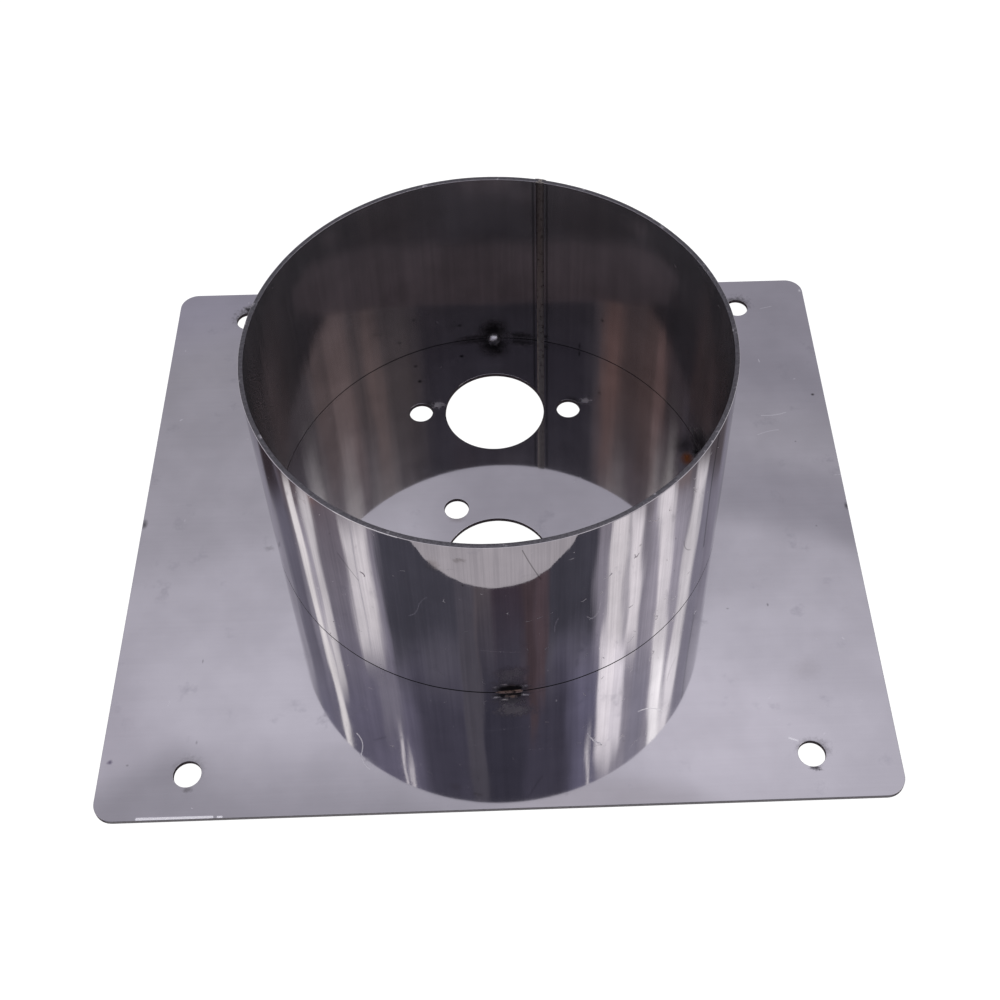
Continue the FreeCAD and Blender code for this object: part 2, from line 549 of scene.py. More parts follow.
@dataclass(frozen=True)
class SheetSteel(Finish):
    """Bright rolled stainless sheet with its grain, smudges, specks, scuffs and single marks, and
    where asked a band of painted shade at its foot.

    A sheet that is rolled to a ring has its own UV map, and its grain stands upright.
    """

    colour: Triple = (0.515, 0.497, 0.525)
    shade: Triple = (0.506, 0.488, 0.516)
    edge_tint: Triple = (0.75, 0.75, 0.77)
    metal: float = 1.0
    roughness: float = 0.035
    streak_roughness: float = 0.01
    rolled: bool = False
    grain_pitch: float = 0.5
    grain_length: float = 40.0
    grain_depth: float = 0.0
    mottle_size: float = 20.0
    mottle: float = 0.05
    smudge_size: float = 9.0
    smudge_cover: float = 0.3
    smudge_roughness: float = 0.06
    smudge_colour: Triple = (0.44, 0.425, 0.455)
    scuff_size: float = 7.0
    scuff_width: float = 0.012
    scuff_cover: float = 0.25
    scuff_colour: Triple = (0.72, 0.70, 0.73)
    scuff_roughness: float = 0.25
    speck_spacing: float = 6.0
    speck_radius: float = 0.16
    speck_share: float = 0.16
    speck_colour: Triple = (0.06, 0.055, 0.06)
    speck_roughness: float = 0.3
    dust_spacing: float = 2.6
    dust_radius: float = 0.13
    dust_share: float = 0.0
    dust_colour: Triple = (0.75, 0.73, 0.76)
    dust_shift: Triple = (3.1, 7.7, 0.0)
    dust_roughness: float = 0.5
    # A band of painted shade at the sheet's foot, where it stands on the plate: its height, colour
    # and roughness.
    joint_shade_band: float = 0.0
    joint_shade_colour: Triple = (0.01, 0.01, 0.01)
    joint_shade_roughness: float = 0.5
    marks: tuple[Patch | Line, ...] = ()

    def feeds(self, graph: Graph) -> dict[str, Feed]:
        """Grain and mottle under the layers of wear.

        Args:
            graph: The material's graph.

        Returns:
            What the shader's inputs get, by name.
        """
        place = self.place(graph)
        grain = graph.group(RolledGrain(), Vector=self.along(graph, place),
                            Pitch=self.grain_pitch, Length=self.grain_length)
        colour = graph.blend(grain["Streak"], self.shade, self.colour)
        rough = graph.math("MULTIPLY_ADD", grain["Streak"], self.streak_roughness, self.roughness)
        broad = graph.noise(graph.scaled(place, 1.0 / self.mottle_size), 1.0, 3.0, 0.6)
        tone = graph.ease(broad, 0.3, 0.7, 1.0 - self.mottle, 1.0 + self.mottle)
        colour = graph.scaled(colour, tone)
        for mask, tint, extra in self.wear(graph, place):
            colour = graph.blend(mask, colour, tint)
            if extra:
                rough = graph.math("MULTIPLY_ADD", mask, extra, rough)
        found = {"Base Color": colour, "Roughness": rough, "Metallic": self.metal,
                 "Specular Tint": self.edge_tint}
        if self.grain_depth:
            found["Normal"] = graph.bump(grain["Height"], 1.0, self.grain_depth)
        return found

    def wear(self, graph: Graph, place: Socket) -> list[tuple[Socket, Triple, float]]:
        """Everything that lies on the sheet, from the lowest layer up.

        Args:
            graph: The material's graph.
            place: The sheet's map in millimetres.

        Returns:
            The mask, colour and added roughness of each layer.
        """
        smudge = graph.group(Smudges(), Vector=place, Size=self.smudge_size,
                             Cover=self.smudge_cover)
        scuff = graph.group(Hairlines(), Vector=place, Size=self.scuff_size,
                            Half_width=self.scuff_width, Cover=self.scuff_cover)
        speck = graph.group(Specks(), Vector=place, Spacing=self.speck_spacing,
                            Radius=self.speck_radius, Share=self.speck_share)
        layers = [(smudge["Mask"], self.smudge_colour, self.smudge_roughness),
                  (scuff["Mask"], self.scuff_colour, self.scuff_roughness),
                  (speck["Mask"], self.speck_colour, self.speck_roughness)]
        if self.dust_share:
            dust = graph.group(Specks(), Vector=graph.vector("ADD", place, self.dust_shift),
                               Spacing=self.dust_spacing, Radius=self.dust_radius,
                               Share=self.dust_share)
            layers.append((dust["Mask"], self.dust_colour, self.dust_roughness))
        # Painted shade: black at the foot, fading out at the band's height, for the crevice where
        # the collar meets the plate.
        if self.joint_shade_band:
            height = graph.split(place)[1]
            line = graph.ease(height, self.joint_shade_band, 0.7 * self.joint_shade_band)
            layers.append((line, self.joint_shade_colour, self.joint_shade_roughness))
        wander = graph.math("SUBTRACT", graph.noise(place, 0.9, 3.0, 0.6), 0.5)
        layers += [(mark.mask(graph, place, wander), mark.colour, mark.roughness)
                   for mark in self.marks]
        return layers

    def along(self, graph: Graph, place: Socket) -> Socket:
        """Turn the sheet's map so that its X runs along the grain.

        Args:
            graph: The material's graph.
            place: The sheet's map in millimetres.

        Returns:
            The turned map.
        """
        if not self.rolled:
            return place
        across, up, _ = graph.split(place)
        return graph.joined(up, across)

    def place(self, graph: Graph) -> Socket:
        """Find the place on the sheet.

        Args:
            graph: The material's graph.

        Returns:
            Its own UV map or Object coordinates, in millimetres.
        """
        if not self.rolled:
            return graph.millimetres()
        return graph.scaled(graph.node("ShaderNodeUVMap", uv_map="sheet").outputs[0], 1.0 / MM)


@dataclass(frozen=True)
class CutEdge(Finish):
    """Sheared or laser-cut edge: duller than the faces, with fine lines across it."""

    colour: Triple = (0.13, 0.125, 0.135)
    bright: Triple = (0.55, 0.53, 0.55)
    roughness: float = 0.32
    nick_size: float = 2.4
    nick_cover: float = 0.02
    line_depth: float = 0.03

    def feeds(self, graph: Graph) -> dict[str, Feed]:
        """Fine noise in colour and relief, with bright nicks.

        Args:
            graph: The material's graph.

        Returns:
            What the shader's inputs get, by name.
        """
        place = graph.millimetres()
        lines = graph.noise(place, 1.6, 5.0, 0.7)
        nicks = graph.group(Smudges(), Vector=place, Size=self.nick_size, Cover=self.nick_cover)
        colour = graph.scaled(self.colour, graph.ease(lines, 0.35, 0.65, 0.75, 1.25))
        return {"Base Color": graph.blend(nicks["Mask"], colour, self.bright),
                "Roughness": self.roughness, "Metallic": 1.0,
                "Normal": graph.bump(lines, 0.6, self.line_depth)}


@dataclass(frozen=True)
class WeldMetal(Finish):
    """Weld bead: uneven, partly bright, partly dark with scale."""

    bright: Triple = (0.52, 0.50, 0.49)
    scale_colour: Triple = (0.10, 0.08, 0.07)
    roughness: float = 0.28
    scale_roughness: float = 0.3
    scale_cover: float = 0.5
    patch: float = 1.6
    skin_depth: float = 0.05

    def feeds(self, graph: Graph) -> dict[str, Feed]:
        """Patches of scale over bright metal with a fine relief.

        Args:
            graph: The material's graph.

        Returns:
            What the shader's inputs get, by name.
        """
        place = graph.millimetres()
        dark = graph.group(Smudges(), Vector=place, Size=self.patch, Cover=self.scale_cover)["Mask"]
        rough = graph.math("MULTIPLY_ADD", dark, self.scale_roughness, self.roughness)
        return {"Base Color": graph.blend(dark, self.bright, self.scale_colour),
                "Roughness": rough, "Metallic": 1.0,
                "Normal": graph.bump(graph.noise(place, 2.2, 4.0, 0.6), 0.7, self.skin_depth)}


# The plate's marks are placed by X and Y. The collar's are placed by the distance round it from
# its front, growing towards +X, and by the height above its foot.

SOOT = (0.012, 0.011, 0.012)
DIRT = (0.03, 0.03, 0.03)
GRIME = (0.05, 0.045, 0.045)
FAINT = (0.08, 0.08, 0.08)
CHALK = (0.75, 0.72, 0.75)
BRIGHT = (0.95, 0.94, 0.95)
# Painted highlight: the white of a lamp's glint, laid into the base colour of a few marks below.
GLINT = (1.0, 0.99, 1.0)

PLATE_MARKS = (
    Patch(-92.8, -70.1, 1.0, 0.9, (0.09, 0.07, 0.13), 0.8, 0.0, 0.8),
    Patch(-88.5, -71.0, 0.5, 0.4, DIRT, 0.4),
    Patch(91.7, 38.3, 0.75, 0.65, SOOT, 0.9, 0.0, 0.2),
    Patch(84.2, 21.2, 0.4, 0.4, DIRT, 0.45),
    Patch(85.5, -7.8, 0.4, 0.4, DIRT, 0.4),
    Patch(69.1, -32.0, 0.4, 0.7, SOOT, 0.5),
    Patch(58.7, -32.8, 0.6, 0.4, DIRT, 0.35),
    Patch(-94.5, -0.8, 1.2, 2.2, SOOT, 0.7),
    Patch(94.6, -1.5, 0.8, 1.6, SOOT, 0.7),
    Patch(-73.9, -43.4, 0.3, 0.9, DIRT, 0.4),
    Patch(-60.3, -9.9, 1.9, 1.2, DIRT, 0.25, 0.0, 1.6),
    Patch(-72.8, -65.6, 0.4, 0.8, DIRT, 0.35),
    Patch(76.2, -50.9, 6.5, 5.0, (0.3, 0.28, 0.28), 0.22, 0.05),
    Line(75.9, 31.0, 82.9, 31.9, 0.3, BRIGHT, 0.35, 0.35, 0.4),
    Line(74.0, 24.0, 80.0, 25.6, 0.25, BRIGHT, 0.3, 0.35, -0.3),
    Line(81.2, 73.1, 84.6, 74.0, 0.25, BRIGHT, 0.3, 0.35),
    Line(69.2, -69.5, 71.2, -70.3, 0.35, BRIGHT, 0.8, 0.35),
    Patch(94.2, 80.3, 0.6, 0.9, BRIGHT, 0.8, 0.35),
    Line(33.6, -61.2, 39.9, -61.5, 0.22, BRIGHT, 0.45, 0.35, -0.9),
    Line(-34.5, -64.6, -33.2, -70.0, 0.22, BRIGHT, 0.6, 0.35, -0.8),
    Line(-33.2, -70.0, -31.0, -74.0, 0.22, BRIGHT, 0.5, 0.35, 0.5),
    Line(21.0, -66.6, 23.9, -69.3, 0.3, BRIGHT, 0.55, 0.35, 0.5),
    Patch(13.8, -57.5, 0.35, 0.5, BRIGHT, 0.7, 0.35),
    Patch(-16.9, -56.4, 0.3, 0.3, BRIGHT, 0.6, 0.35),
    # Painted highlight: two white lines along the plate's front-left edge, where a lamp glints in
    # the burr.
    Line(-84.3, -84.6, -67.0, -84.7, 0.5, GLINT, 2.0, 0.25),
    Line(-65.6, -84.7, -64.8, -84.7, 0.4, GLINT, 1.5, 0.3),
    Patch(74.6, -72.6, 5.4, 3.6, GRIME, 0.75, 0.25, 1.0),
    Patch(74.5, -77.4, 2.0, 1.2, SOOT, 0.8, 0.3, 2.2),
    Patch(-74.0, -72.6, 4.9, 4.6, GRIME, 0.55, 0.2, 0.9),
    Patch(-73.4, -77.6, 1.9, 1.2, GRIME, 0.5, 0.2, 1.6),
    Patch(74.3, 75.5, 5.2, 4.2, SOOT, 0.8, 0.25, 1.2),
    Patch(-74.0, 75.2, 5.6, 4.6, SOOT, 0.85, 0.3, 1.5),
    Patch(-73.9, 78.6, 2.6, 2.2, SOOT, 0.95, 0.3, 1.2),
    Patch(22.2, 38.0, 3.4, 3.0, SOOT, 0.7, 0.2, 1.0),
    Patch(-18.6, 38.2, 2.8, 2.4, SOOT, 0.6, 0.2, 1.0),
    Patch(-16.2, 38.4, 3.2, 2.4, CHALK, 0.9, 0.5, 1.4),
    Patch(26.0, 38.4, 2.9, 2.1, CHALK, 0.9, 0.5, 1.4),
    Patch(-23.0, 53.4, 0.9, 0.8, SOOT, 0.8),
    Patch(-9.5, 56.9, 0.8, 0.7, SOOT, 0.7),
    Patch(-10.7, -2.0, 3.2, 1.8, (0.2, 0.17, 0.16), 0.5, 0.2),
    Patch(0.0, 61.5, 5.5, 3.4, SOOT, 0.9, 0.3, 0.9),
    Patch(1.5, 58.5, 1.6, 1.8, SOOT, 0.7, 0.3, 1.6),
    Patch(53.0, 21.0, 5.0, 5.5, SOOT, 0.7, 0.2, 0.6),
    Patch(53.2, 16.2, 2.6, 3.3, (0.55, 0.2, 0.07), 1.1, 0.2, 0.7),
    Patch(56.0, 18.4, 2.2, 3.2, SOOT, 0.9, 0.3),
    Patch(-21.7, 47.5, 0.9, 0.9, SOOT, 0.8),
    Patch(3.4, -59.6, 7.0, 2.6, (0.19, 0.18, 0.19), 0.75, 0.45, 1.3),
    Patch(2.6, -57.0, 6.2, 2.0, (0.1, 0.095, 0.11), 0.8, 0.4, 1.2),
    Patch(3.0, -55.9, 2.6, 0.8, (0.42, 0.3, 0.24), 0.8, 0.4, 1.4),
    # Small beads by the front tack, made white with painted highlight.
    Patch(-0.9, -56.1, 1.6, 0.45, GLINT, 0.9, 0.5, 1.2),
    Patch(1.2, -56.8, 1.2, 0.35, (0.8, 0.76, 0.76), 0.8, 0.5, 1.4),
    Patch(6.2, -55.6, 1.9, 0.45, GLINT, 0.8, 0.5, 1.2),
)

COLLAR_OUTSIDE_MARKS = (
    Patch(2.6, 1.5, 6.4, 3.0, SOOT, 1.5, 0.35),
    # Painted highlight: a white line along the front-left top of the outside wall, where the rim
    # glints.
    Line(-37.0, 61.75, -21.0, 61.75, 0.28, GLINT, 0.8, 0.4),
    Patch(10.5, 1.6, 2.8, 0.6, (0.45, 0.38, 0.34), 0.4, 0.4, 1.4),
    Patch(-13.5, 54.0, 2.6, 3.6, (0.3, 0.25, 0.22), 0.35, 0.1, 1.6),
    Line(6.4, 60.2, 10.4, 48.0, 0.22, FAINT, 0.7, 0.0, 0.15),
    Line(63.1, 61.0, 63.4, 16.0, 0.8, (0.04, 0.04, 0.05), 0.95, 0.0, 0.6),
    Line(51.0, 33.0, 54.8, 25.0, 0.25, (0.12, 0.11, 0.12), 0.7, 0.0, 0.8),
    Line(-4.0, 19.9, 5.4, 18.3, 0.2, BRIGHT, 0.4, 0.35),
    Patch(-7.0, 47.3, 0.4, 0.6, SOOT, 0.7),
    Patch(-7.5, 57.0, 1.8, 1.4, (0.18, 0.16, 0.15), 0.5, 0.0, 2.0),
    Line(-38.0, 45.0, -33.0, 38.0, 0.25, FAINT, 0.6),
    Patch(25.6, 10.3, 0.5, 0.7, BRIGHT, 0.6, 0.35),
    Patch(35.1, 46.9, 0.6, 0.6, (0.1, 0.08, 0.07), 0.5),
)

COLLAR_INSIDE_MARKS = (
    Line(-201.0, -1.0, -201.0, 63.0, 0.55, SOOT, 0.6, 0.1),
    Line(172.1, -1.0, 172.1, 63.0, 0.55, SOOT, 0.6, 0.1),
    Patch(-188.5, 3.8, 6.6, 7.0, SOOT, 0.95, 0.3, 0.8),
    Patch(-183.0, 0.9, 9.0, 1.6, SOOT, 0.7, 0.3, 0.8),
    Patch(-197.0, 1.4, 6.4, 2.4, SOOT, 0.8, 0.3, 1.3),
    Patch(173.0, 2.2, 2.4, 1.7, SOOT, 0.8, 0.3, 1.6),
    Patch(-178.4, 6.7, 1.1, 0.8, SOOT, 0.9),
    Patch(-164.6, 13.3, 0.7, 0.7, SOOT, 0.8),
    Patch(154.5, 15.9, 0.8, 0.8, SOOT, 0.9),
    Patch(161.7, 1.6, 0.5, 2.0, SOOT, 0.95, 0.0, 0.8),
    Patch(-177.0, 8.6, 0.5, 0.4, SOOT, 0.7),
    Patch(108.0, 4.2, 7.5, 7.5, SOOT, 0.9, 0.3, 0.7),
    Patch(112.5, 1.6, 7.0, 3.2, SOOT, 0.8, 0.3, 0.8),
)


# ---- Meshes


def quarter_circle(x: float, y: float, radius: float, start: float) -> np.ndarray:
    """Places along a quarter circle about x and y, in five steps from the angle start."""
    turn = start + np.linspace(0.0, QUARTER_TURN, 6)
    return np.stack([x + radius * np.cos(turn), y + radius * np.sin(turn)], axis=1)


def ring(centre: Pair, radius: float, count: int) -> tuple[np.ndarray, np.ndarray]:
    """Places round a circle and the directions away from its centre.

    Args:
        centre: The circle's centre.
        radius: Its radius.
        count: How many places, the first repeated at the end.

    Returns:
        The places and the directions, one row each.
    """
    turn = np.linspace(0.0, FULL_TURN, count + 1)
    turn[-1] = 0.0
    away = np.stack([np.cos(turn), np.sin(turn)], axis=1)
    return np.asarray(centre) + radius * away, away


@dataclass
class Shell:
    """Gathers grids and faces into one closed mesh with a flat map of the sheet.

    Points are in millimetres. The flat map is in millimetres too, and is X and Y where none is
    given. A kind is the place of a face's material.
    """

    name: str
    count: int = 0
    points: list[np.ndarray] = field(default_factory=list)
    flats: list[np.ndarray] = field(default_factory=list)
    faces: list[list[int]] = field(default_factory=list)
    kinds: list[np.ndarray] = field(default_factory=list)

    def add_points(self, points: np.ndarray, flat: np.ndarray | None) -> int:
        """Add points with their places on the flat map.

        Args:
            points: The points, XYZ last.
            flat: The map coordinates of each, or None.

        Returns:
            The number of the first of them.
        """
        first = self.count
        self.points.append(points.reshape(-1, 3))
        flat = self.points[-1][:, :2] if flat is None else flat.reshape(-1, 2)
        self.flats.append(flat)
        self.count += len(flat)
        return first

    def add_grid(self, points: np.ndarray, flat: np.ndarray | None = None,
                 kinds: np.ndarray | int = 0) -> None:
        """Add a surface given on a grid of two parameters.

        Args:
            points: Array of rows, columns and XYZ.
            flat: The map coordinates on the same grid, or None.
            kinds: The kind of each column of faces, or one for all.
        """
        rows, columns = points.shape[:2]
        first = self.add_points(points, flat)
        number = first + np.arange(rows * columns).reshape(rows, columns)
        quads = np.stack([number[:-1, :-1], number[1:, :-1], number[1:, 1:], number[:-1, 1:]],
                         axis=-1)
        self.faces.extend(quads.reshape(-1, 4).tolist())
        self.kinds.append(np.broadcast_to(kinds, (rows - 1, columns - 1)).reshape(-1))

    def add_faces(self, points: np.ndarray, faces: list[list[int]],
                  flat: np.ndarray | None = None, kind: int = 0) -> None:
        """Add loose faces.

        Args:
            points: The points.
            faces: Point numbers of each face, counted from the first of these points.
            flat: The map coordinates, or None.
            kind: The kind of all of them.
        """
        first = self.add_points(points, flat)
        self.faces.extend([[first + corner for corner in face] for face in faces])
        self.kinds.append(np.full(len(faces), kind))

    def add_lid(self, loop: np.ndarray, flat: np.ndarray | None = None, kind: int = 0) -> None:
        """Close an end with one face.

        Args:
            loop: The points round it, the first repeated at the end.
            flat: Their map coordinates, or None.
            kind: The face's kind.
        """
        corners = len(loop) - 1
        flat = None if flat is None else flat[:-1]
        self.add_faces(loop[:-1], [list(range(corners))], flat, kind)

    def build(self, materials: list[bpy.types.Material]) -> bpy.types.Object:
        """Make the object: the mesh, its map, smooth shading, joined seams and outward normals.

        Args:
            materials: The materials, in the order of their places.

        Returns:
            The finished object, which sits at the origin.
        """
        mesh = bpy.data.meshes.new(self.name)
        mesh.from_pydata((np.concatenate(self.points) * MM).tolist(), [], self.faces)
        for material in materials:
            mesh.materials.append(material)
        kinds = np.concatenate(self.kinds).astype(np.int32)
        mesh.polygons.foreach_set("material_index", kinds)
        mesh.polygons.foreach_set("use_smooth", np.ones(len(self.faces), bool))
        corners = np.empty(len(mesh.loops), np.int32)
        mesh.loops.foreach_get("vertex_index", corners)
        sheet = (np.concatenate(self.flats)[corners] * MM).astype(np.float32)
        mesh.uv_layers.new(name="sheet").data.foreach_set("uv", sheet.ravel())
        work = bmesh.new()
        work.from_mesh(mesh)
        bmesh.ops.remove_doubles(work, verts=work.verts, dist=JOIN_DISTANCE * MM)
        bmesh.ops.recalc_face_normals(work, faces=work.faces)
        work.to_mesh(mesh)
        work.free()
        mesh.update()
        made = bpy.data.objects.new(self.name, mesh)
        bpy.context.scene.collection.objects.link(made)
        return made


@dataclass(kw_only=True)
class Piece:
    """One piece of the dressed model, which stands for one construction node."""

    node: str
    slot: str

    def mesh(self) -> bpy.types.Object:
        """Make the piece's object. Each piece has its own way."""
        raise NotImplementedError

    def dress(self) -> None:
        """Build the piece, put it on the body in place of its node and report it."""
        piece = self.mesh()
        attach(piece, "root")
        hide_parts(self.node)
        LOG.info("%s: %d faces, stands for %s", piece.name, len(piece.data.polygons), self.node)


@dataclass(kw_only=True)
class BasePlate(Piece):
    """The flat sheet with rounded corners, its screw holes and the heater's hole pattern."""

    node: str = "base_plate"
    slot: str = "plate_sheet"
    width: float = 190.0
    depth: float = 170.0
    thickness: float = 1.2
    corner_radius: float = 5.0
    corner_steps: int = 14
    edge_round: float = 0.10
    edge_strip: float = 0.04
    face_columns: int = 4
    guard: float = 0.5
    corner_hole: Triple = (74.0, 73.75, 3.3)
    pipe_holes: tuple[Triple, ...] = ((0.0, 35.7, 14.0), (0.0, -16.3, 14.0))
    pipe_steps: int = 160
    small_holes: tuple[Triple, ...] = ((21.0, 35.7, 3.3), (-21.0, 35.7, 3.3), (21.0, -16.3, 3.3),
                                       (-21.0, -16.3, 3.3), (-10.75, 1.35, 3.3))
    small_steps: int = 72
    face: SheetSteel = SheetSteel("plate_face", marks=PLATE_MARKS)
    edge: CutEdge = CutEdge("plate_edge", colour=(0.17, 0.165, 0.175))

    def outline(self) -> tuple[np.ndarray, np.ndarray]:
        """Places along the rounded rectangle, and the directions into the sheet.

        Each corner is a quarter circle about its own centre.

        Returns:
            The places and the directions, with the first repeated at the end.
        """
        half = np.array([self.width, self.depth]) / 2 - self.corner_radius
        step = np.linspace(0.0, QUARTER_TURN, self.corner_steps + 1)
        turn = (step + QUARTER_TURN * np.arange(4)[:, None]).ravel()
        side = np.repeat(np.array([[1, 1], [-1, 1], [-1, -1], [1, -1]]), len(step), axis=0)
        away = np.stack([np.cos(turn), np.sin(turn)], axis=1)
        places = side * half + self.corner_radius * away
        return np.vstack([places, places[:1]]), -np.vstack([away, away[:1]])

    def rim_profile(self) -> np.ndarray:
        """Section of a cut edge: distance into the sheet and height, from top to underside.

        A flat strip, a quarter circle, the straight cut, a quarter circle and a flat strip.

        Returns:
            Rows of distance and height in millimetres.
        """
        rise, near = self.edge_round, self.edge_round + self.edge_strip
        top = quarter_circle(rise, self.thickness - rise, rise, QUARTER_TURN)
        low = np.stack([top[::-1, 0], self.thickness - top[::-1, 1]], axis=1)
        return np.vstack([[self.guard, self.thickness], [near, self.thickness], top, low,
                          [near, 0.0], [self.guard, 0.0]])

    def mesh(self) -> bpy.types.Object:
        """Carry the edge's section along the outline and round each hole, and close both faces.

        Returns:
            The plate's object.
        """
        shell = Shell("mounting_sheet")
        profile = self.rim_profile()
        kinds = np.full(len(profile) - 1, Face.OUTSIDE.value)
        kinds[self.face_columns:-self.face_columns] = Face.EDGE.value
        corner_x, corner_y, corner_r = self.corner_hole
        holes = [(side_x * corner_x, side_y * corner_y, corner_r)
                 for side_x in (-1, 1) for side_y in (-1, 1)]
        holes = [*holes, *self.pipe_holes, *self.small_holes]
        loops = [self.outline()]
        loops += [ring((x, y), radius, self.pipe_steps if (x, y, radius) in self.pipe_holes
                       else self.small_steps) for x, y, radius in holes]
        for places, inward in loops:
            flat = places[:, None, :] + profile[None, :, :1] * inward[:, None, :]
            high = np.broadcast_to(profile[None, :, 1:], (*flat.shape[:2], 1))
            shell.add_grid(np.concatenate([flat, high], axis=2), kinds=kinds)
        guards = [(places + self.guard * inward)[:-1] for places, inward in loops]
        triangles, corners = self.fill(guards, holes)
        for height in (self.thickness, 0.0):
            level = np.column_stack([corners, np.full(len(corners), height)])
            shell.add_faces(level, triangles)
        return shell.build([self.face.material(), self.edge.material()])

    def fill(self, guards: list[np.ndarray],
             holes: list[Triple]) -> tuple[list[list[int]], np.ndarray]:
        """Triangles between the outline and the holes.

        Args:
            guards: The closed loops that bound the face, the outline first.
            holes: Centre and radius of each hole, in the loops' order.

        Returns:
            The triangles, and the places that they number.
        """
        places = np.vstack(guards)
        starts = np.cumsum([0] + [len(loop) for loop in guards])
        edges = [(int(a + k), int(a + (k + 1) % (b - a)))
                 for a, b in zip(starts[:-1], starts[1:]) for k in range(b - a)]
        found = delaunay_2d_cdt([Vector(place) for place in places], edges, [], 0,
                                FILL_TOLERANCE)
        corners = np.array([tuple(corner) for corner in found[0]])
        triangles = np.array([list(face) for face in found[2]])
        middle = corners[triangles].mean(axis=1)
        keep = np.ones(len(triangles), bool)
        for (x, y, radius), loop in zip(holes, guards[1:]):
            reach = (radius + self.guard) * math.cos(math.pi / len(loop))
            keep &= np.hypot(middle[:, 0] - x, middle[:, 1] - y) > reach
        return triangles[keep].tolist(), corners


@dataclass(kw_only=True)
class RoundPiece(Piece):
    """A piece that is placed from the collar's axis, on the plate's top."""

    outer_radius: float = 60.0
    centre_y: float = 5.2
    foot: float = 1.2

    def placed(self, radius: np.ndarray, aside: np.ndarray | float, height: np.ndarray,
               turn: np.ndarray | float) -> np.ndarray:
        """Places given from the axis: out along an azimuth, aside at right angles to it, and up.

        Args:
            radius: How far out.
            aside: How far aside.
            height: How far above the plate.
            turn: The azimuth in radians.

        Returns:
            The places, with XYZ as the last axis.
        """
        x = radius * np.cos(turn) - aside * np.sin(turn)
        y = self.centre_y + radius * np.sin(turn) + aside * np.cos(turn)
        return np.stack(np.broadcast_arrays(x, y, self.foot + height), axis=-1)


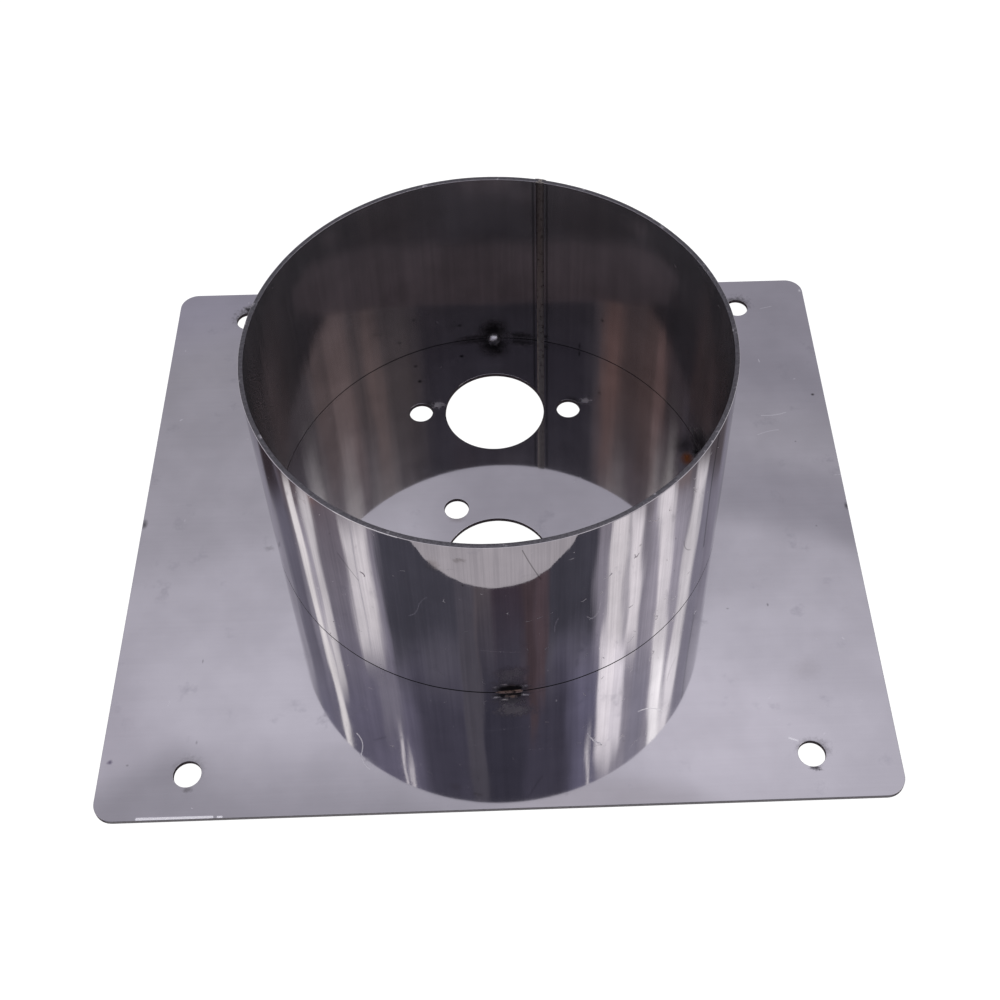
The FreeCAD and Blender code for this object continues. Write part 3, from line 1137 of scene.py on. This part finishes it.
@dataclass(kw_only=True)
class Collar(RoundPiece):
    """Strip rolled to a ring, with a gap for the seam weld.

    Each wave has its count round the collar, its change with height, its phase and its size. Each
    dent has its place on the collar's map, its reach and its depth.
    """

    node: str = "collar"
    slot: str = "collar_sheet"
    wall: float = 1.2
    wall_play: float = 0.002
    height: float = 62.0
    edge_round: float = 0.22
    foot_round: float = 0.03
    edge_strip: float = 0.06
    rubbed_steps: int = 3
    seam_azimuth: float = 76.2
    seam_gap: float = 0.9
    steps: int = 900
    rows: int = 26
    wave_room: float = 0.06
    waves: tuple[tuple[float, ...], ...] = (
        (7.0, 0.03, 0.4, 0.016), (13.0, -0.08, 1.9, 0.013), (21.0, 0.12, 3.1, 0.009),
        (34.0, -0.19, 0.9, 0.006), (55.0, 0.11, 2.2, 0.0035), (89.0, -0.07, 5.2, 0.0022),
        (131.0, 0.05, 1.3, 0.0014))
    dents: tuple[tuple[float, ...], ...] = (
        (30.0, 33.0, 4.5, 0.007), (36.0, 21.0, 5.0, -0.008), (47.0, 40.0, 5.0, 0.007),
        (-38.0, 40.0, 5.0, 0.007), (-30.0, 22.0, 4.0, -0.006), (-52.0, 30.0, 5.0, 0.007),
        (2.0, 2.0, 7.0, -0.006))
    outside: SheetSteel = SheetSteel(
        "collar_outside", colour=(0.575, 0.55, 0.575), shade=(0.485, 0.465, 0.49), rolled=True,
        grain_pitch=0.6, grain_length=45.0, grain_depth=0.005, roughness=0.02,
        streak_roughness=0.02, joint_shade_band=0.28, mottle=0.06, scuff_cover=0.45, speck_share=0.3,
        dust_share=0.22, scuff_colour=(0.60, 0.58, 0.60), scuff_roughness=0.4,
        marks=COLLAR_OUTSIDE_MARKS)
    inside: SheetSteel = SheetSteel(
        "collar_inside", colour=(0.268, 0.252, 0.263), shade=(0.228, 0.215, 0.226), rolled=True,
        metal=0.74, smudge_colour=(0.23, 0.213, 0.223), scuff_colour=(0.36, 0.34, 0.35),
        grain_pitch=0.8, grain_length=50.0, grain_depth=0.006, roughness=0.13, joint_shade_band=0.2,
        mottle=0.12, marks=COLLAR_INSIDE_MARKS)
    rim: CutEdge = CutEdge("collar_rim", nick_cover=0.3)

    def section(self) -> tuple[np.ndarray, np.ndarray]:
        """Closed section of the wall: radius and height, up the outside and down the inside.

        Straight faces of even rows, with a quarter circle at each edge. At the rim, the steps of
        a quarter circle that lie next to a face are rubbed bright, and the rest is the cut.

        Returns:
            Rows of radius and height, and the material's place for each step between them.
        """
        outer = self.outer_radius - self.wave_room
        inner = outer - self.wall + self.wall_play
        low, top = self.foot_round, self.height - self.edge_round
        level = np.linspace(low + self.edge_strip, top - self.edge_strip, self.rows)
        parts = [
            quarter_circle(outer - low, low, low, -QUARTER_TURN),
            np.stack([np.full(len(level), outer), level], axis=1),
            quarter_circle(outer - self.edge_round, top, self.edge_round, 0.0),
            quarter_circle(inner + self.edge_round, top, self.edge_round, QUARTER_TURN),
            np.stack([np.full(len(level), inner), level[::-1]], axis=1),
            quarter_circle(inner + low, low, low, 2 * QUARTER_TURN),
        ]
        faces = (Face.OUTSIDE, Face.EDGE, Face.OUTSIDE, Face.INSIDE)
        kinds = np.repeat([face.value for face in faces],
                          [len(parts[0]) + len(parts[1]) + self.rubbed_steps,
                           2 * (len(parts[2]) - self.rubbed_steps), self.rubbed_steps,
                           len(parts[4]) + len(parts[5])])
        return np.vstack([*parts, parts[0][:1]]), kinds

    def wave(self, turn: np.ndarray, height: np.ndarray) -> np.ndarray:
        """How far rolling left the wall off a true cylinder, in millimetres.

        A sum of sines in the angle and the height, each with its own length and phase, and a few
        shallow round dents.

        Args:
            turn: Azimuth in radians.
            height: Height above the collar's foot in millimetres.

        Returns:
            The offset, at most wave_room either way.
        """
        offset = sum(size * np.sin(count * turn + rate * height + phase)
                     for count, rate, phase, size in self.waves)
        along = self.outer_radius * (turn + QUARTER_TURN)
        for middle, level, reach, depth in self.dents:
            away = ((along - middle) ** 2 + (height - level) ** 2) / reach ** 2
            offset = offset - depth * np.exp(-away)
        return offset

    def mesh(self) -> bpy.types.Object:
        """Carry the section round the axis, from one side of the seam to the other.

        Returns:
            The collar's object.
        """
        shell = Shell("rolled_collar")
        section, kinds = self.section()
        height = section[None, :, 1]
        spare = 0.5 * self.seam_gap / (self.outer_radius - self.wall)
        start = math.radians(self.seam_azimuth - 360.0)
        turn = np.linspace(start + spare, start + FULL_TURN - spare, self.steps)[:, None]
        radius = section[None, :, 0] + self.wave(turn, height)
        points = self.placed(radius, 0.0, height, turn)
        along = self.outer_radius * (turn + QUARTER_TURN)
        flat = np.stack(np.broadcast_arrays(along, height), axis=2)
        shell.add_grid(points, flat, kinds)
        for end in (0, -1):
            shell.add_lid(points[end], flat[end], Face.EDGE.value)
        return shell.build([finish.material() for finish in (self.outside, self.rim, self.inside)])


@dataclass(kw_only=True)
class SeamWeld(RoundPiece):
    """Weld that closes the collar's seam: a rippled root bead inside and a low cap outside."""

    node: str = "seam_weld"
    slot: str = "weld_metal"
    azimuth: float = 76.2
    inner_radius: float = 58.8
    height: float = 62.0
    gap: float = 0.9
    root_width: float = 2.4
    root_height: float = 0.3
    root_depth: float = 0.08
    cap_width: float = 3.0
    cap_height: float = 0.15
    cap_depth: float = 0.1
    waist_play: float = 0.01
    ripple_pitch: float = 0.85
    ripple_depth: float = 0.05
    ripple_lag: float = 0.5
    cap_ripple: float = 0.5
    drift: float = 0.8
    drift_rate: float = 0.37
    rows: int = 330
    crown_points: int = 15
    metal: WeldMetal = WeldMetal("seam_metal", bright=(0.33, 0.31, 0.28), scale_cover=0.45,
                                 patch=0.8)

    def mesh(self) -> bpy.types.Object:
        """Carry the bead's closed section up the seam, with ripples that bow with the puddle.

        The section runs across the root bead, out through the gap and back across the cap. The
        crowns' height loses a ripple that repeats at the pitch and lags at the bead's sides.

        Returns:
            The weld's object.
        """
        shell = Shell("seam_bead")
        share = np.linspace(-1.0, 1.0, self.crown_points)
        crown = np.sqrt(np.clip(1.0 - share ** 2, 0.0, 1.0))
        root_foot = self.inner_radius + self.root_depth
        cap_foot = self.outer_radius - self.cap_depth
        root = np.stack([share * self.root_width / 2,
                         root_foot - (self.root_height + self.root_depth) * crown], axis=1)
        cap = np.stack([share[::-1] * self.cap_width / 2,
                        cap_foot + (self.cap_height + self.cap_depth) * crown], axis=1)
        side = self.gap / 2
        waist = np.array([[side, root_foot + self.waist_play], [side, cap_foot - self.waist_play]])
        section = np.vstack([root, waist, cap, waist[::-1] * [-1, 1], root[:1]])
        lift = np.concatenate([crown, [0, 0], -crown * self.cap_ripple, [0, 0], crown[:1]])
        level = np.linspace(0.0, self.height, self.rows)[:, None]
        aside = np.broadcast_to(section[None, :, 0], (self.rows, len(section)))
        phase = FULL_TURN * (level + self.ripple_lag * aside ** 2) / self.ripple_pitch
        phase = phase + self.drift * np.sin(level * self.drift_rate)
        ripple = 0.5 - 0.5 * np.sin(phase)
        radius = section[None, :, 1] + self.ripple_depth * lift[None, :] * ripple
        points = self.placed(radius, aside, level, math.radians(self.azimuth))
        shell.add_grid(points, np.stack([aside, points[..., 2]], axis=2))
        for end in (0, -1):
            shell.add_lid(points[end])
        return shell.build([self.metal.material()])


TACK_METAL = WeldMetal(
    "tack_metal", bright=(0.80, 0.79, 0.83), scale_colour=(0.15, 0.13, 0.13), roughness=0.38,
    scale_cover=0.3, patch=0.9)
FRONT_TACK_METAL = WeldMetal(
    "front_tack_metal", bright=(0.42, 0.30, 0.24), scale_colour=(0.04, 0.032, 0.03),
    roughness=0.4, scale_cover=0.66, patch=1.3)


@dataclass(kw_only=True)
class TackWeld(RoundPiece):
    """One nugget at the collar's foot, with a slightly uneven skin."""

    slot: str = "weld_metal"
    azimuth: float
    radius: float = 1.8
    straight: float = 0.6
    squareness: float = 3.0
    outside_height: float = 0.15
    rows: int = 22
    columns: int = 73
    round_wave: float = 0.02
    upward_wave: float = 0.018
    metal: WeldMetal = TACK_METAL

    def mesh(self) -> bpy.types.Object:
        """Half a ball, drawn out along the joint, with a few shallow waves in its radius.

        The two parameters are the angle up from the plate and the angle round the nugget. The
        skin stays inside the nugget of the construction model.

        Returns:
            The weld's object.
        """
        shell = Shell(self.node + "_bead")
        up = np.linspace(0.0, QUARTER_TURN, self.rows)[:, None]
        around = np.linspace(0.0, FULL_TURN, self.columns)[None, :]
        wave = (1.0 + np.sin(3 * around + self.azimuth)) * np.cos(up) * self.round_wave
        bend = 5 * up + 2 * np.cos(around) + self.azimuth
        wave = wave + (1.0 + np.sin(bend)) * self.upward_wave
        size = self.radius * (1.0 - wave)
        share = np.cos(up) * np.cos(around)
        drawn = np.tanh(self.squareness * share) / math.tanh(self.squareness)
        along = size * share + 0.5 * self.straight * drawn
        middle = self.outer_radius + self.outside_height - self.radius
        points = self.placed(middle + size * np.cos(up) * np.sin(around), along,
                             size * np.sin(up), math.radians(self.azimuth))
        shell.add_grid(points)
        shell.add_lid(points[0])
        return shell.build([self.metal.material()])


# ---- Stage


@dataclass(frozen=True)
class Panel:
    """A soft light or a dark area of the studio, by direction from the object, in degrees."""

    centre: float
    half_width: float
    low: float
    high: float
    red: float
    green: float
    blue: float
    side_softness: float = 2.0
    end_softness: float = 3.0
    lean: float = 0.0

    def over(self, graph: Graph, colour: Feed, direction: Socket, rise: Socket) -> Socket:
        """Lay the panel over what lies behind it.

        Args:
            graph: The surroundings' graph.
            colour: What lies behind.
            direction: Azimuth and elevation in degrees, as a vector.
            rise: The elevation alone. A panel with a lean moves sideways by it for each degree
                above the panel's low edge.

        Returns:
            The joined colour.
        """
        centre = self.centre
        if self.lean:
            slide = graph.scaled((-self.lean, 0.0, 0.0), rise)
            direction = graph.vector("ADD", direction, slide)
            centre -= self.lean * self.low
        wide, tall = self.half_width, (self.high - self.low) / 2
        soft, end = self.side_softness, self.end_softness
        beyond = graph.group(
            SoftPanel(), Direction=direction, Centre=(centre, (self.low + self.high) / 2, 0.0),
            Inner=(wide - soft, tall - end, 1.0), Outer=(wide + soft, tall + end, 2.0))["Beyond"]
        return graph.blend(beyond, (self.red, self.green, self.blue), colour)


def panels(*rows: tuple[float, ...]) -> tuple[Panel, ...]:
    """Return a panel for each row of its fields' values."""
    return tuple(Panel(*row) for row in rows)


# The studio's panels, from the undermost up. Each row has the middle azimuth, the half width, the
# low and the high elevation, red, green and blue, and where they differ from the usual the
# softness of the sides and of the ends, and the lean. A panel that stands in two groups has its
# azimuth moved by a hundredth or so in one, because the renderer works out what is the same in
# both for every direction.

LOW_PANELS = panels(
    (68, 15, 43.2, 48.8, 0.46, 0.45, 0.51, 5, 1),
    (104, 10, 43, 45.5, 0.475, 0.465, 0.545, 5, 1.2),
    (66, 15, 51.2, 53.5, 0.5, 0.49, 0.55, 5, 0.7),
    (86, 9, 49, 57, 0.53, 0.52, 0.58, 3, 1),
    (52, 10, 50, 57.5, 0.6, 0.58, 0.67, 4, 2),
    (124, 6, 50, 60, 0.68, 0.66, 0.74, 4, 2),
    (142.5, 8.5, 44, 68, 0.43, 0.42, 0.5, 2.5),
    (-178.5, 9.5, 40, 58.5, 0.56, 0.54, 0.6, 5),
    (-16, 38, 44.5, 52.5, 0.4, 0.35, 0.33, 8, 4),
    (180, 30, 44, 52.5, 0.38, 0.27, 0.24, 8, 4),
    (36.5, 6.5, 44, 68, 0.68, 0.67, 0.77, 3),
    (37, 17, 40, 52, 0.27, 0.24, 0.25, 4, 0.8),
    (158.5, 9, 40, 51.5, 0.18, 0.145, 0.16, 3, 1),
    (138.5, 8, 40, 52, 0.12, 0.095, 0.105, 3, 0.8),
    (-98, 48, 38, 60, 0.17, 0.165, 0.21, 7, 2),
    (-21, 4.5, 43, 52.5, 0.92, 0.72, 0.64, 2.5, 4, -0.5),
    (-3, 8, 43, 52.5, 0.97, 0.76, 0.69, 3.5, 4),
    (12, 5.5, 43, 52.5, 0.63, 0.5, 0.46, 2.5, 4),
    (-160, 4.5, 43, 52.5, 1, 0.63, 0.53, 3, 4, 0.7),
    (176, 8, 43, 52.5, 0.46, 0.32, 0.28, 3, 4),
    (171.2, 3, 43, 52.5, 0.9, 0.59, 0.52, 2, 4),
    (-85, 26, 47.6, 51.8, 0.23, 0.225, 0.28, 5, 0.8),
    (-98, 48, 34, 46.8, 0.072, 0.068, 0.085, 7, 2),
    (-14, 52, 34, 45.3, 0.13, 0.105, 0.12, 8, 3.5),
    (180, 32, 34, 45.3, 0.17, 0.13, 0.13, 8, 3.5),
    (0.4, 5.2, 52, 68, 2.35, 2.35, 2.25, 2.2, 0.8, 1),
    (29.8, 5.2, 51.5, 66, 2.2, 2.2, 2.1, 2.4, 0.8, -0.9),
    (155.2, 2.9, 51.5, 66, 2.6, 2.6, 2.4, 1.6, 0.8, 0.73),
    (167.9, 3.4, 52, 60, 2, 2, 1.9, 2, 0.8),
)

LEFT_PANELS = panels(
    (150, 26, 60, 72, 0.54, 0.53, 0.59, 15, 1, -7),
    (124.01, 6, 50, 60, 0.72, 0.7, 0.78, 4, 2),
    (142.51, 8.5, 44, 60, 0.43, 0.42, 0.5, 2.5, 1.5),
    (140, 11, 59.5, 68, 0.45, 0.44, 0.56, 5, 1),
    (-178.51, 9.5, 40, 58.5, 0.56, 0.54, 0.6, 5),
    (-171, 38, 58.5, 70, 0.41, 0.4, 0.52, 8),
    (180.01, 30, 44, 52.5, 0.32, 0.23, 0.22, 8, 4),
    (-117.75, 32.75, 52, 60, 0.18, 0.184, 0.22, 2, 2),
    (-113, 28, 59.5, 74, 0.18, 0.178, 0.235, 7, 2),
    (-106, 5.5, 52, 66, 0.24, 0.235, 0.27, 1.5),
    (-96.25, 6.25, 53, 59, 0.29, 0.26, 0.27, 1.5),
    (-95, 6, 59, 72, 0.12, 0.12, 0.16),
    (124, 8, 59.9, 70, 0.53, 0.52, 0.58, 2.5, 0.8),
    (162.5, 4, 53, 59, 1.25, 1.22, 1.3, 1.5),
    (155.21, 2.9, 51.5, 66, 2.6, 2.6, 2.4, 1.6, 0.8, 0.731),
    (167.91, 3.4, 52, 60, 2, 2, 1.9, 2, 0.8),
    (-162.6, 7.3, 53.6, 58.8, 2.2, 2.2, 2.1, 2.2, 1),
    (-163.6, 0.5, 53.6, 58.8, 1.4, 1.4, 1.4, 0.4, 1),
    (-157, 6.5, 59.5, 61.8, 0.58, 0.57, 0.66, 3, 0.8),
    (-153.2, 1, 62, 66, 2.3, 2.3, 2.2, 0.5, 1),
    (-149, 0.8, 63, 68, 2.3, 2.3, 2.2, 0.4, 1),
)

RIGHT_PANELS = panels(
    (66.01, 15, 51.2, 53.5, 0.5, 0.49, 0.55, 5, 0.7),
    (74, 6, 59.5, 63.5, 0.96, 0.94, 1.03, 4, 1.2),
    (86.01, 9, 49, 57, 0.53, 0.52, 0.58, 3, 1),
    (52.01, 10, 50, 57.5, 0.6, 0.58, 0.67, 4, 2),
    (150.01, 26, 60, 72, 0.54, 0.53, 0.59, 15, 1, -7.01),
    (124.02, 6, 50, 60, 0.72, 0.7, 0.78, 4, 2),
    (-16.01, 38, 44.5, 52.5, 0.4, 0.35, 0.33, 8, 4),
    (7, 14, 53, 60, 1.12, 1.1, 1.18, 4, 1.5),
    (-7, 6, 59.5, 70, 0.76, 0.76, 0.87, 3, 1.5),
    (36.51, 6.5, 44, 68, 0.68, 0.67, 0.77, 3),
    (-72.25, 32.75, 52, 60, 0.165, 0.169, 0.203, 2, 2),
    (124.03, 8, 59.9, 70, 0.53, 0.52, 0.58, 2.5, 0.8),
    (82.5, 9, 64, 70, 0.7, 0.68, 0.74, 4, 0.5),
    (-47.5, 13, 59.5, 74, 0.4, 0.4, 0.54, 4, 1.5),
    (-78, 27, 59.5, 74, 0.165, 0.162, 0.215, 7, 2),
    (-95.75, 4.25, 53, 59, 0.29, 0.26, 0.27, 1.5),
    (-85.5, 8, 53, 59, 0.15, 0.115, 0.142),
    (-89, 10, 59, 72, 0.12, 0.12, 0.16),
    (-73.5, 2.5, 59.5, 62.5, 0.22, 0.165, 0.175, 1.2, 0.8),
    (-74.5, 3.5, 50, 61, 0.18, 0.135, 0.145, 1.5, 1),
    (-68.5, 3, 50, 61, 0.26, 0.195, 0.21, 1.5, 1),
    (-26.2, 4.9, 53.6, 60, 2.15, 2.15, 2.05, 1.9, 0.8, -0.26),
    (-28.9, 5.3, 59, 63.2, 2.7, 2.7, 2.6, 2, 0.8, -0.26),
    (-23, 3.8, 59, 62.8, 2.55, 2.55, 2.5, 2, 0.8),
    (-16.5, 4.1, 53.6, 59, 2.4, 2.4, 2.3, 2, 1),
    (0.41, 5.2, 52, 60, 2.35, 2.35, 2.25, 2.2, 0.8, 1.01),
    (7.3, 5.4, 59, 68, 3.2, 3.25, 3.05, 2.2, 0.8, 1),
    (29.81, 5.2, 51.5, 60, 2.2, 2.2, 2.1, 2.4, 0.8, -0.91),
    (22.8, 4.9, 59, 66, 2.65, 2.65, 2.55, 2.2, 0.8, -0.9),
    (-39.8, 0.7, 62.5, 67, 2.3, 2.3, 2.2, 0.4, 1),
)


@dataclass
class Studio:
    """Floor, surroundings and camera."""

    floor_size: float = 6.0
    floor_drop: float = 0.05
    floor_white: Triple = (0.8, 0.8, 0.8)
    floor_share: float = 0.85
    floor_level: float = 1.2
    plate_half: Pair = (95.0, 85.0)
    # What metal sees of the floor, with a painted shadow: how far the shadow reaches from the
    # plate, and the floor's colour near the plate, far off and under it.
    mirrored_shadow_reach: float = 260.0
    mirrored_shadow_near: Triple = (0.64, 0.61, 0.63)
    mirrored_far: Triple = (0.95, 0.94, 0.96)
    mirrored_shadow_under: Triple = (0.11, 0.08, 0.09)
    camera_place: Triple = (5.2235, -231.8626, 319.1298)
    camera_target: Triple = (13.4349, 41.1801, 1.2)
    camera_roll: float = -0.3078
    camera_reach: Pair = (0.01, 50.0)
    sensor: float = 36.0
    lens: float = 52.2786
    shift: Pair = (-0.041057, -0.105474)
    tint: Triple = (1.0, 0.985, 1.08)
    band: Pair = (56.0, 20.0)
    low_limit: float = 52.6
    right_side: Pair = (12.5, 107.5)
    levels: tuple[Pair, ...] = (
        (0.0, 0.95), (18.0, 0.85), (36.0, 0.41), (42.0, 0.44), (46.0, 0.51), (49.0, 0.55),
        (50.6, 0.59), (53.0, 0.62), (54.3, 0.73), (55.6, 0.75), (57.0, 0.81), (59.5, 0.87),
        (66.0, 0.89), (78.0, 0.92), (90.0, 1.0))

    def build(self) -> None:
        """Make the floor, the surroundings and the camera."""
        self.build_floor()
        self.build_world()
        self.build_camera()

    def build_floor(self) -> None:
        """A pale floor that shows white to the camera and to glass, and keeps the shadow.

        Metal mirrors it with a painted shadow: darker near the plate and very dark under it.
        """
        half, level = self.floor_size / 2, -self.floor_drop * MM
        corners = [(x * half, y * half, level) for x, y in ((-1, -1), (1, -1), (1, 1), (-1, 1))]
        mesh = bpy.data.meshes.new("floor")
        mesh.from_pydata(corners, [], [(0, 1, 2, 3)])
        floor = bpy.data.objects.new("floor", mesh)
        bpy.context.scene.collection.objects.link(floor)
        made = bpy.data.materials.new("pale_floor")
        made.use_nodes = True
        mesh.materials.append(made)
        graph = Graph(made.node_tree)
        graph.tree.nodes.remove(graph.tree.nodes["Principled BSDF"])
        across, deep, _ = graph.split(graph.millimetres())
        # Painted shadow for glossy rays: darker near the plate, pale far off, and very dark under
        # it.
        reach = graph.math("MAXIMUM", *(
            graph.math("SUBTRACT", graph.math("ABSOLUTE", place), limit)
            for place, limit in zip((across, deep), self.plate_half)))
        mirrored_with_shadow = graph.blend(graph.ease(reach, 0.0, self.mirrored_shadow_reach), self.mirrored_shadow_near,
                               self.mirrored_far)
        under = graph.math("LESS_THAN", reach, 0.0)
        mirrored_with_shadow = graph.blend(under, mirrored_with_shadow, self.mirrored_shadow_under)
        ray = graph.node("ShaderNodeLightPath").outputs
        mirrored_with_shadow = graph.scaled(mirrored_with_shadow, ray["Is Glossy Ray"])
        seen = graph.math("MAXIMUM", ray["Is Camera Ray"], ray["Is Transmission Ray"])
        white = graph.scaled((1.0, 1.0, 1.0), graph.math("MULTIPLY", seen, self.floor_level))
        glow = graph.shader("ShaderNodeEmission", graph.vector("ADD", white, mirrored_with_shadow))
        matte = graph.shader("ShaderNodeBsdfDiffuse", self.floor_white)
        whole = graph.shader("ShaderNodeMixShader", self.floor_share, matte, glow)
        graph.feed(graph.tree.nodes["Material Output"].inputs[0], whole)

    def build_world(self) -> None:
        """Soft surroundings: a level by elevation, with the panels laid over it.

        The panels are only worked out in the band of elevations that holds them, given by its
        middle and half height, and there in three groups: the ones below low_limit, and above it
        the ones on the right side, given by its middle azimuth and half width, and on the left.
        """
        world = bpy.data.worlds.new("studio")
        bpy.context.scene.world = world
        world.use_nodes = True
        graph = Graph(world.node_tree)
        graph.tree.nodes.remove(graph.tree.nodes["Background"])
        look = graph.vector("NORMALIZE", graph.node("ShaderNodeTexCoord").outputs["Generated"])
        x, y, z = graph.split(look)
        turn = graph.math("MULTIPLY", graph.math("ARCTAN2", y, x), 180.0 / math.pi)
        rise = graph.math("MULTIPLY", graph.math("ARCSINE", z), 180.0 / math.pi)
        ramp = graph.node("ShaderNodeValToRGB", graph.math("DIVIDE", rise, 90.0))
        ramp.color_ramp.interpolation = "EASE"
        stops = ramp.color_ramp.elements
        for angle, _ in self.levels[1:-1]:
            stops.new(angle / 90.0)
        for stop, (_, level) in zip(stops, self.levels):
            stop.color = (*(level * part for part in self.tint), 1.0)
        look = (graph.joined(turn, rise), rise)
        bare, low, left, right = (self.shown(graph, ramp.outputs[0], look, group)
                                  for group in ((), LOW_PANELS, LEFT_PANELS, RIGHT_PANELS))
        above = graph.math("GREATER_THAN", rise, self.low_limit)
        sides = self.either(graph, turn, self.right_side, left, right)
        whole = graph.shader("ShaderNodeMixShader", above, low, sides)
        whole = self.either(graph, rise, self.band, bare, whole)
        graph.feed(graph.tree.nodes["World Output"].inputs[0], whole)

    def shown(self, graph: Graph, colour: Socket, look: tuple[Socket, Socket],
              group: tuple[Panel, ...]) -> Socket:
        """Surroundings with some of the panels.

        Args:
            graph: The surroundings' graph.
            colour: What lies behind the panels.
            look: The direction, and its elevation alone.
            group: The panels, from the undermost up.

        Returns:
            The shader.
        """
        for panel in group:
            colour = panel.over(graph, colour, *look)
        return graph.shader("ShaderNodeBackground", colour)

    def either(self, graph: Graph, angle: Socket, span: Pair, beyond: Socket,
               within: Socket) -> Socket:
        """Choose between two shaders by an angle.

        Args:
            graph: The surroundings' graph.
            angle: The angle in degrees.
            span: Middle and half width of a span of it.
            beyond: The shader outside the span.
            within: The shader inside it.

        Returns:
            The joined shader.
        """
        away = graph.math("ABSOLUTE", graph.math("SUBTRACT", angle, span[0]))
        share = graph.math("LESS_THAN", away, span[1])
        return graph.shader("ShaderNodeMixShader", share, beyond, within)

    def build_camera(self) -> None:
        """The camera at the photograph's place and angle."""
        data = bpy.data.cameras.new("camera")
        data.sensor_width = self.sensor
        data.lens = self.lens
        data.shift_x, data.shift_y = self.shift
        data.clip_start, data.clip_end = self.camera_reach
        camera = bpy.data.objects.new("camera", data)
        bpy.context.scene.collection.objects.link(camera)
        place, target = Vector(self.camera_place), Vector(self.camera_target)
        aim = (target - place).to_track_quat("-Z", "Y")
        roll = Quaternion((0.0, 0.0, 1.0), math.radians(self.camera_roll))
        camera.location = place * MM
        camera.rotation_mode = "QUATERNION"
        camera.rotation_quaternion = aim @ roll
        bpy.context.scene.camera = camera


def main() -> None:
    """Build the stage and each piece in order."""
    logging.basicConfig(level=logging.INFO, format="%(name)s: %(message)s")
    bpy.context.scene.view_settings.view_transform = "Standard"
    Studio().build()
    pieces = [
        BasePlate(),
        Collar(),
        SeamWeld(),
        TackWeld(node="tack_weld_rear", azimuth=90.0),
        TackWeld(node="tack_weld_right", azimuth=11.0),
        TackWeld(node="tack_weld_left", azimuth=181.0),
        TackWeld(node="tack_weld_front", azimuth=272.0, radius=1.7, straight=5.8,
                 metal=FRONT_TACK_METAL),
    ]
    for piece in pieces:
        piece.dress()


if __name__ == "__main__":
    main()
